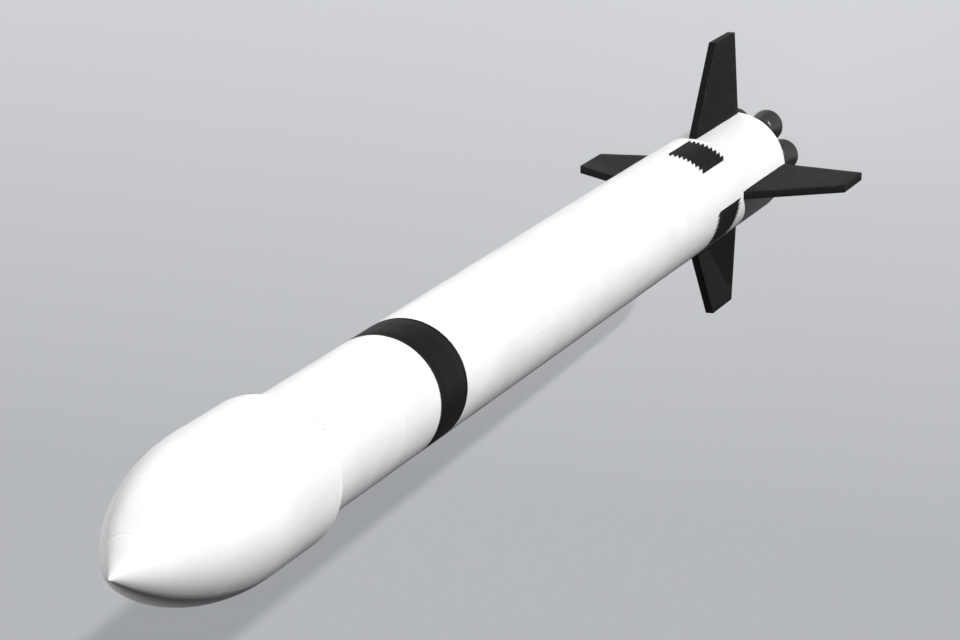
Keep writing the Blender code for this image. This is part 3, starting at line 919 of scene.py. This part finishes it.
def payloadAdapter(v):
    # Cone with a wide flange at its foot and a narrow one at its head, and low ribs up its outside
    low, high = heightsOf("payload_adapter")
    foot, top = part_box("payload_adapter")[1].x, v["topRadius"]
    base, flange, bevel = v["footThick"], v["flange"], v["bevel"]
    rise = np.linspace(0, 1, 9)
    cone = foot - flange + (top - foot + flange) * rise
    coneZ = low + base + (high - low - 2 * base) * rise
    hole = foot - 2 * flange
    radius = [hole, foot, foot, foot - bevel, *cone, top, top, top - flange, *(cone - v["wall"])[::-1], hole]
    height = [low, low, low + base - bevel, low + base, *coneZ, high - v["headThick"], high, high]
    height = np.array([*height, *(coneZ[::-1] - v["innerDrop"]), low])
    lift = np.zeros(len(radius))
    lift[5:12] = 1  # the ribs run out before the flanges
    a = ring(v["ribs"] * 8)
    ribs = v["rib"] * np.abs(np.cos(np.radians(a) * v["ribs"] / 2)) ** 8
    shell = turned(np.array(radius)[:, None] + lift[:, None] * ribs, height, a)
    angles, inset = halfSteps(v["bolts"]), v["boltIn"]
    places = onSkin(angles, foot - inset, low + base), onSkin(angles, top - inset, high - bevel)
    parts = [(bareAlloy, [shell]), (engineSteel, [headsOn("bolt", p) for p in places])]
    makePiece("payload_adapter_cone", parts, replaces=["payload_adapter"])


payloadAdapter(adapterLook)

# Engines

bellLook = {
    "throat": -0.2403,
    "joint": -0.72,
    "exit": -1.308,
    "throatRadius": 0.066,
    "exitRadius": 0.361,  # inside
    "curve": 1.7,
    "wall": 0.010,
    "flange": 0.290,
    "flangeThick": 0.012,
    "bevel": 0.001,
    "gap": 0.0003,
    "tubes": 72,
    "tubeRise": 0.0022,
    "rows": 16,
    "bands": (-0.86, -1.02, -1.17),
    "bandRise": 0.0016,
    "bandWide": 0.012,
    "lipRise": 0.004,
    "lipWide": 0.02,
    "lipFoot": 0.003,
    "rowStep": 0.05,
    "fineShare": 0.7,  # of a band's width: step of the finer rows beside it
    "columns": 120,
    "bolts": 36,
    "boltOut": 0.002,  # from the middle between wall and edge
}


def bellRadius(height, b):
    # From the throat outwards: radius grows by 1 - (1 - share of the length) to the power of the curve
    share = np.clip((b["throat"] - height) / (b["throat"] - b["exit"]), 0, 1)
    return b["throatRadius"] + (b["exitRadius"] - b["throatRadius"]) * (1 - (1 - share) ** b["curve"])


def cooledBell(b):
    # Inner and outer wall of the bell down to its flange, rippled by the cooling tubes
    low, high, thick, c, rows = b["joint"], b["throat"], b["flangeThick"], b["bevel"], b["rows"]
    a = ring(b["tubes"] * 4)
    up, down = np.linspace(low + thick, high, rows), np.linspace(high, low, rows)
    ri, ro, edge = bellRadius(down, b), bellRadius(up, b) + b["wall"], b["flange"]
    radius = np.concatenate([[ri[-1], edge - c, edge, edge, edge - c], ro, ri])
    height = np.concatenate([[low, low, low + c, low + thick - c, low + thick], up, down])
    lift = np.concatenate([np.zeros(5), np.ones(rows), -np.ones(rows)])
    lift[[5, 4 + rows, 5 + rows, -1]] = 0  # smooth at the flange and the throat
    wave = b["tubeRise"] * (np.abs(np.cos(np.radians(a) * b["tubes"] / 2)) ** 0.7 - 0.5)
    return turned(radius[:, None] + lift[:, None] * wave[None], height, a)


def bellExtension(b):
    # Plain wall below the flange, stiffened by round bands and a rolled lip
    high, low, thick, c, edge = b["joint"] - b["gap"], b["exit"], b["flangeThick"], b["bevel"], b["flange"]
    fine = b["bandWide"] * b["fineShare"]
    up = stations(low + b["lipFoot"], high - thick, b["rowStep"], b["bands"], fine)
    down = np.linspace(high, low, 20)
    ro = bellRadius(up, b) + b["wall"] + b["lipRise"] * bump(up - low, b["lipWide"])
    for z in b["bands"]:
        ro = ro + b["bandRise"] * bump(up - z, b["bandWide"])
    ro = np.minimum(ro, b["exitRadius"] + b["wall"] + b["lipRise"])
    inner = bellRadius(down, b)
    radius = np.concatenate([[inner[-1], ro[0] - 2 * c], ro, [edge - c, edge, edge, edge - c], inner])
    height = np.concatenate([[low, low], up, [high - thick, high - thick + c, high - c, high], down])
    return turned(radius, height, ring(b["columns"]))


def flangeBolts(b):
    middle = (bellRadius(b["joint"], b) + b["wall"] + b["flange"]) / 2 + b["boltOut"]
    thick, angles = b["flangeThick"], halfSteps(b["bolts"])
    top = headsOn("bolt", onSkin(angles, middle, b["joint"] + thick))
    return top, headsOn("bolt", onSkin(angles, middle, b["joint"] - thick - b["gap"]), down=True)


gimbalLook = {
    "ears": (0.065, 0.095),  # inner and outer face of each ear
    "earHalf": 0.030,
    "earHigh": 0.108,  # of the mount's ears, above the pivot
    "earBevel": (0.94, 0.0015),  # share left of the outline, and depth
    "crossHalf": 0.045,
    "crossTall": 0.028,
    "crossBevel": 0.004,
    "pinReach": 0.0645,
    "pin": (0.020, 0.0015, 24),  # radius, chamfer and sides
}


def earPlate(side, low, pivot, g):
    # Plate across Y with a round end over the pin, side -1 or 1: its outline is a U turned upside down
    near, far = sorted((side * g["ears"][0], side * g["ears"][1]))
    wide, (share, bevel) = g["earHalf"], g["earBevel"]
    a = np.radians(np.linspace(0, 180, 13))
    arch = np.stack([wide * np.cos(a), pivot + wide * np.sin(a)], -1)
    outline = np.vstack([(wide, low), arch, (-wide, low)])
    middle = np.array([0, (low + pivot) / 2])
    inner = middle + (outline - middle) * share
    fan = middle + 0 * outline
    rows = [(fan, near), (inner, near), (outline, near + bevel)]
    rows += [(outline, far - bevel), (inner, far), (fan, far)]
    points = np.stack([np.stack([p[:, 0], 0 * p[:, 0] + y, p[:, 1]], -1) for p, y in rows])
    return gridShell(np.concatenate([points, points[:, :1]], 1)[::-1])


def gimbalCross(g):
    # A block with four pins, and a grease cap on top
    half, tall = g["crossHalf"], g["crossTall"]
    shells = [block((-half, -half, pivotHeight - tall), (half, half, pivotHeight + tall), g["crossBevel"])]
    middle = np.array((0, 0, pivotHeight))
    for pin in g["pinReach"] * np.eye(3)[:2]:
        shells.append(rod(middle - pin, middle + pin, *g["pin"]))
    return shells + [placed(headOf["cap"], shift=(0, 0, pivotHeight + tall))]


mountLook = {
    "half": 0.13,
    "top": 0.4197,
    "thick": 0.025,
    "bevel": 0.003,
    "bolts": ((-0.105, -0.035, 0.035, 0.105), (-0.105, 0.105)),  # places along X and Y
}


def thrustMount(m, g):
    # Plate with two ears that hang from it
    half, top, low = m["half"], m["top"], m["top"] - m["thick"]
    shells = [block((-half, -half, low), (half, half, top), m["bevel"])]
    for side in (-1, 1):
        points, faces, corners = placed(earPlate(side, 0.0, g["earHigh"], g), 90)
        hung = points * np.array([1, -1, -1]) + np.array([0, 0, pivotHeight + g["earHigh"]])
        shells.append((hung, faces, corners))
    acrossX, acrossY = m["bolts"]
    return shells, [headsOn("bolt", [(x, y, low) for x in acrossX for y in acrossY], down=True)]


headLook = {
    # radius and height of the chamber, from the closed inside of the throat up to the injector's dome
    "outline": (
        (0, -0.16), (0.060, -0.20), (0.060, -0.24), (0.104, -0.24), (0.105, -0.239), (0.105, -0.216),
        (0.104, -0.215), (0.082, -0.212), (0.080, -0.205), (0.088, -0.180), (0.103, -0.140),
        (0.114, -0.110), (0.118, -0.09), (0.118, -0.040), (0.121, -0.036), (0.121, -0.028),
        (0.118, -0.024), (0.118, 0.050), (0.144, 0.050), (0.145, 0.051), (0.145, 0.066),
        (0.143, 0.0675), (0.145, 0.069), (0.145, 0.084), (0.144, 0.085), (0.106, 0.085),
        (0.105, 0.095), (0.100, 0.108), (0.086, 0.120), (0.066, 0.130), (0.045, 0.136),
        (0.034, 0.142), (0.034, 0.176), (0, 0.178),
    ),
    "columns": 48,
    "yoke": (0.172, 0.200, 0.003),  # foot and top of the plate under the ears, and its bevel
    "earFoot": 0.19,
    "pumpOut": 0.20,
    "pump": (  # radius and height of the turbopump round its own axis
        (0, -0.17), (0.040, -0.17), (0.044, -0.166), (0.044, -0.150), (0.060, -0.148), (0.062, -0.146),
        (0.062, -0.096), (0.060, -0.092), (0.048, -0.088), (0.048, -0.066), (0.060, -0.064),
        (0.062, -0.060), (0.062, -0.010), (0.058, -0.004), (0.042, 0.020), (0.038, 0.04), (0, 0.04),
    ),
    "pumpColumns": 32,
    "feeds": (0.0, -0.10),
    "feed": (0.05, 0.19, 0.022),  # start, end and radius of the pipes from the pump
    "collar": (0.122, 0.132, 0.030),
    # delivery pipe from the pump's foot down to the ring at the throat, and a thin one up to the dome
    "pipes": (
        (0.014, ((0.20, 0.03, -0.15), (0.20, 0.075, -0.17), (0.155, 0.105, -0.205),
                 (0.10, 0.085, -0.226), (0.06, 0.06, -0.228))),
        (0.011, ((0.20, -0.03, 0.02), (0.19, -0.085, 0.045), (0.165, -0.10, 0.095),
                 (0.10, -0.075, 0.108), (0.05, -0.05, 0.108))),
    ),
    "bolts": 24,
    "boltRing": (0.131, 0.085, 0.050),  # radius, top face and underside of the injector's flange
}


def powerhead(v, g):
    # Chamber and injector dome turned from one outline, with a yoke, the turbopump and its pipes
    body = turned(*np.array(v["outline"]).T, ring(v["columns"]))
    pump = placed(turned(*np.array(v["pump"]).T, ring(v["pumpColumns"])), shift=(v["pumpOut"], 0, 0))
    foot, top, bevel = v["yoke"]
    half, wide = g["earHalf"], g["ears"][1]
    yoke = [block((-half, -wide, foot), (half, wide, top), bevel)]
    yoke += [earPlate(side, v["earFoot"], pivotHeight, g) for side in (-1, 1)]
    start, end, radius = v["feed"]
    pipes = [rod((start, 0, z), (end, 0, z), radius, sides=16) for z in v["feeds"]]
    pipes += [tube(smoothPath(route), thick) for thick, route in v["pipes"]]
    start, end, radius = v["collar"]
    collars = [rod((start, 0, z), (end, 0, z), radius) for z in v["feeds"]]
    radius, top, under = v["boltRing"]
    angles = halfSteps(v["bolts"])
    bolts = [headsOn("smallBolt", onSkin(angles, radius, top)),
             headsOn("smallBolt", onSkin(angles, radius, under), down=True)]
    return [body, pump] + yoke + collars, pipes + bolts


def engine(number, centre):
    top, under = flangeBolts(bellLook)
    head, pipes = powerhead(headLook, gimbalLook)
    plate, bolts = thrustMount(mountLook, gimbalLook)
    pieces = {  # name: parts, body, slot and the node that the piece stands for
        "bell_wall": ([(nozzleMetal, [cooledBell(bellLook)]), (engineSteel, [top])],
                      f"engine_{number}", "nozzle_metal", "bell"),
        "bell_skirt": ([(nozzleMetal, [bellExtension(bellLook)]), (engineSteel, [under])],
                       f"engine_{number}", "nozzle_metal", "bell_extension"),
        "engine_head": ([(engineSteel, head), (pipeMetal, pipes)],
                        f"engine_{number}", "engine_steel", "powerhead"),
        "gimbal_block": ([(bareAlloy, gimbalCross(gimbalLook))],
                         f"gimbal_{number}", "bare_alloy", "gimbal_cross"),
        "mount_plate": ([(engineSteel, plate), (bareAlloy, bolts)], "root", "engine_steel", "thrust_mount"),
    }
    for name, (parts, body, slot, node) in pieces.items():
        here = [(finish, [placed(s, shift=(*centre, 0)) for s in shells]) for finish, shells in parts]
        makePiece(f"{name}_{number}", here, body, [f"{node}_{number}"])


for number, centre in engineCentre.items():
    engine(number, centre)
print("engines made")

# Heat shield: a quilted blanket in rings and sectors, sewn down along its seams

shieldLook = {
    "gap": 0.0005,
    "rings": 6,
    "sectors": 24,
    "puff": 0.012,
    "puffEdge": 0.4,
    "middle": 0.2,  # radius within which it has no sectors
}


def heatShield(v):
    low, high = heightsOf("heat_shield")
    outer = bodyRadius - skinThick - v["gap"]
    r = np.linspace(0, outer, v["rings"] * 8 + 1)
    a = ring(v["sectors"] * 8)
    sectors = np.abs(np.sin(np.radians(a) * v["sectors"] / 2)) ** np.where(r > v["middle"], 1, 0)[:, None]
    pads = np.abs(np.sin(np.pi * r / outer * v["rings"]))[:, None] * sectors
    z = low + v["puff"] * (1 - pads ** v["puffEdge"])
    height = np.concatenate([z, np.full((2, len(a)), high)])
    shell = turned([*r, outer, 0], height, a)
    makePiece("heat_blanket", [(blanket, [shell])], replaces=["heat_shield"])


heatShield(shieldLook)
print("heat shield made")

# Light and floor

light = {
    "key": (0.630, -0.730, 0.267),
    "floorKey": (0.639, -0.722, 0.267),
    "keyPower": 4.35,
    "keySoft": 1.2,  # degrees
    "fill": (0.52, 0.66, -0.55),
    "fillPower": 3.05,
    "fillSoft": 30.0,
    "back": (-0.54, 0.84, 0.0),  # lights only the side that the camera doesn't see
    "backPower": 1.6,
    "backSoft": 20.0,
    "air": (0.35, 0.357, 0.38),  # glow of the air below, as off a pale floor; it fades out upwards
    "airFade": (-0.1, -0.6),  # sines of the height angles where it is gone and where it is full
    # What shiny surfaces see: dark below a level line, brightest just above it. Each stop is the sine
    # of the angle above that line and a tone; up is turned from +X by mirrorTurn degrees about Z.
    "mirror": ((-0.32, 0.034), (-0.13, 0.115), (-0.02, 0.124), (0.25, 0.104), (0.45, 0.09), (1.0, 0.085)),
    "mirrorTint": (0.1, (1.03, 0.99, 0.95), (0.97, 0.99, 1.03)),  # warm up to this sine, cool above it
    "mirrorTurn": 2.0,
    "mirrorSide": (0.10, 0.38, 1.9),  # brighter from this share of +Y to this one, up to this many times
    # the fins, patches and bells mirror only the surround, none of these
    "notMirrored": ("tail_skirt", "lower_tank", "roll_", "fin_", "heat_blanket", "bell_", "engine_",
                    "gimbal_", "mount_"),
    "floor": -1.5,
    # tones of the floor's glow: darker towards -X as painted shade, lighter towards +X
    "floorTop": (0.573, 0.583, 0.598),
    "floorLow": (0.333, 0.343, 0.363),
    "floorSpan": (-9, 9),  # along X, from the low tone to the top one
    "floorPaint": (0.36, 0.365, 0.37),
    "floorFade": (60, 400),  # distances between which it turns into the backdrop
    "backdrop": (0.50, 0.51, 0.53),
    "wide": 1300.0,
    "domes": (0.98, 0.9),  # radius of the backdrop and of the surround, as shares of the width
}


def sun(name, toward, power, soft):
    data = bpy.data.lights.new(name, "SUN")
    data.energy, data.angle = power, math.radians(soft)
    made = bpy.data.objects.new(name, data)
    made.rotation_mode = "QUATERNION"
    made.rotation_quaternion = Vector(toward).to_track_quat("Z", "Y")
    bpy.context.scene.collection.objects.link(made)
    return made


def linkSet(name, objects, state):  # for a light: what it reaches or what shades it
    made = bpy.data.collections.new(name)
    for number, member in enumerate(objects):
        made.objects.link(member)
        made.collection_objects[number].light_linking.link_state = state
    return made


def stagePiece(name, shell, finish):
    mesh = bpy.data.meshes.new(name)
    points, faces, _ = shell
    mesh.from_pydata(points.tolist(), [], [list(dict.fromkeys(f)) for f in faces.tolist()])
    mesh.materials.append(finish)
    mesh.shade_smooth()
    made = bpy.data.objects.new(name, mesh)
    bpy.context.scene.collection.objects.link(made)
    return made


def bareFinish(name):  # a material without a shader, its nodes, and the socket that shows it
    made = bpy.data.materials.new(name)
    made.use_nodes = True
    tree = made.node_tree
    tree.nodes.clear()
    return made, tree, tree.nodes.new("ShaderNodeOutputMaterial").inputs["Surface"]


def floorFinish(v):
    # Pale glowing floor, with painted shade that makes it a little darker towards -X; it fades into the
    # backdrop's tone far away
    made, tree, shown = bareFinish("floorPaint")
    glow, far = (tree.nodes.new("ShaderNodeEmission") for _ in range(2))
    # painted shade: the glow darkens from +X towards -X
    tones = [(0, v["floorLow"]), (1, v["floorTop"])]
    tone = tint(tree, spread(tree, placeAlong(tree, "X"), 0, 1, *v["floorSpan"]), tones)
    tree.links.new(tone, glow.inputs["Color"])
    far.inputs["Color"].default_value = (*v["backdrop"], 1)
    matt = tree.nodes.new("ShaderNodeBsdfDiffuse")
    matt.inputs["Color"].default_value = (*v["floorPaint"], 1)
    near = tree.nodes.new("ShaderNodeAddShader")
    tree.links.new(glow.outputs["Emission"], near.inputs[0])
    tree.links.new(matt.outputs["BSDF"], near.inputs[1])
    length = tree.nodes.new("ShaderNodeVectorMath")
    length.operation = "LENGTH"
    tree.links.new(coordinates(tree), length.inputs[0])
    mix = tree.nodes.new("ShaderNodeMixShader")
    tree.links.new(spread(tree, length.outputs["Value"], 0, 1, *v["floorFade"]), mix.inputs["Fac"])
    tree.links.new(near.outputs["Shader"], mix.inputs[1])
    tree.links.new(far.outputs["Emission"], mix.inputs[2])
    tree.links.new(mix.outputs["Shader"], shown)
    return made


def glowFinish(name, stops, reach, turn=0.0, side=None):
    # Plain glow whose tone changes across the axis, along a level line turned from +X. Where side is
    # given, it also grows brighter towards +Y.
    made, tree, shown = bareFinish(name)
    along = tree.nodes.new("ShaderNodeVectorMath")
    along.operation = "DOT_PRODUCT"
    along.inputs[1].default_value = (math.cos(math.radians(turn)), math.sin(math.radians(turn)), 0)
    tree.links.new(coordinates(tree), along.inputs[0])
    tone = tint(tree, spread(tree, along.outputs["Value"], 0, 1, -reach, reach), stops)
    shine = tree.nodes.new("ShaderNodeEmission")
    tree.links.new(tone, shine.inputs["Color"])
    if side:
        start, full, most = side
        growth = spread(tree, placeAlong(tree, "Y"), 1.0, most, start * reach, full * reach)
        tree.links.new(growth, shine.inputs["Strength"])
    tree.links.new(shine.outputs["Emission"], shown)
    return made


def globe(radius, lowest):  # a dome from a height angle in degrees up
    rise = np.radians(np.linspace(lowest, 90, 40))
    return turned(radius * np.cos(rise), radius * np.sin(rise), ring(96))


def airGlow(v):
    world = bpy.data.worlds.new("air")
    world.use_nodes = True
    tree = world.node_tree
    share = spread(tree, placeAlong(tree, "Z", "Generated"), 0, 1, *v["airFade"])
    tone = tint(tree, share, [(0, (0, 0, 0)), (1, v["air"])])
    tree.links.new(tone, tree.nodes["Background"].inputs["Color"])
    return world


def makeStage(v):
    far = v["wide"]
    disc = turned([far, far / 3, far / 12, 0], [v["floor"]] * 4, ring(96))
    floor = stagePiece("floor", disc, floorFinish(v))
    floor.visible_diffuse = floor.visible_glossy = floor.visible_shadow = False
    # the backdrop shows to the camera alone, and the surround only in reflections
    outer, inner = (far * share for share in v["domes"])
    plain = glowFinish("backdropPaint", [(0, v["backdrop"]), (1, v["backdrop"])], far)
    dome = stagePiece("backdrop", globe(outer, -5), plain)
    dome.visible_diffuse = dome.visible_glossy = dome.visible_shadow = False
    edge, warm, cool = v["mirrorTint"]
    tints = [cool if sine > edge else warm for sine, _ in v["mirror"]]
    stops = [((sine + 1) / 2, [tone * c for c in t]) for (sine, tone), t in zip(v["mirror"], tints)]
    around = glowFinish("surroundPaint", stops, inner, v["mirrorTurn"], v["mirrorSide"])
    surround = stagePiece("surround", globe(inner, -90), around)
    surround.visible_camera = surround.visible_diffuse = surround.visible_shadow = False
    bpy.context.scene.world = airGlow(v)
    # one light for the rocket, and a like one for the floor, where the fins give no shadow of their own
    key = sun("key", v["key"], v["keyPower"], v["keySoft"])
    key.light_linking.receiver_collection = linkSet("keyReach", [floor], "EXCLUDE")
    floorKey = sun("floorKey", v["floorKey"], v["keyPower"], v["keySoft"])
    floorKey.light_linking.receiver_collection = linkSet("floorReach", [floor], "INCLUDE")
    fins = [piece for piece in bpy.data.objects if piece.name.startswith("fin_")]
    floorKey.light_linking.blocker_collection = linkSet("floorShade", fins, "EXCLUDE")
    fill = sun("fill", v["fill"], v["fillPower"], v["fillSoft"])
    back = sun("back", v["back"], v["backPower"], v["backSoft"])
    for soft in (fill, back):  # they lighten the shade without a highlight or a second floor shadow
        soft.visible_glossy = False
    back.light_linking.receiver_collection = linkSet("backReach", [floor], "EXCLUDE")
    for piece in bpy.data.objects:
        if piece.name.startswith(v["notMirrored"]):
            piece.visible_glossy = False
    bpy.context.scene.view_settings.view_transform = "Standard"


makeStage(light)
print("stage lit")
